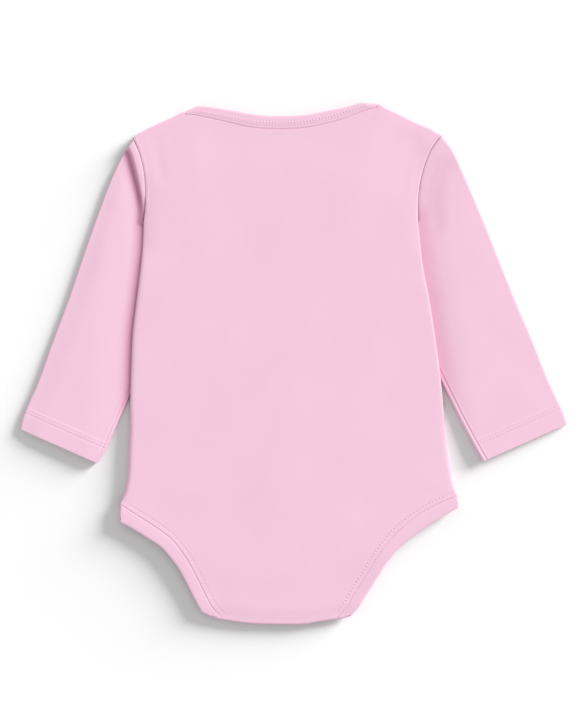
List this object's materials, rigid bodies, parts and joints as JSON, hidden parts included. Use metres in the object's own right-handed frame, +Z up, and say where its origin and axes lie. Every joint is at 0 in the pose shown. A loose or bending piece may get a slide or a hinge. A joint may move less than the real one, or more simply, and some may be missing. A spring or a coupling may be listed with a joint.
{
  "type": "baby onesie",
  "caption": "Long sleeved baby bodysuit in plain knit, laid flat on its front, with rib bindings at the neck and legs and snaps at the crotch.",
  "frame": {"origin": "middle of the garment's outline, on the surface it lies on", "axes": "+X across the garment to the right of the picture, +Y from the crotch to the neck, +Z up out of the surface"},
  "size_m": [0.4372, 0.4166, 0.0074],
  "materials": {
    "knit": "matt cotton knit",
    "rib": "matt cotton rib",
    "snap": "painted cap"
  },
  "bodies": {
    "root": {"back_panel": "knit", "front_panel": "knit", "sleeve_left": "knit", "sleeve_right": "knit", "neck_band": "rib", "leg_band_left": "rib", "leg_band_right": "rib", "snap_1": "snap", "snap_2": "snap", "snap_3": "snap"}
  },
  "joints": []
}
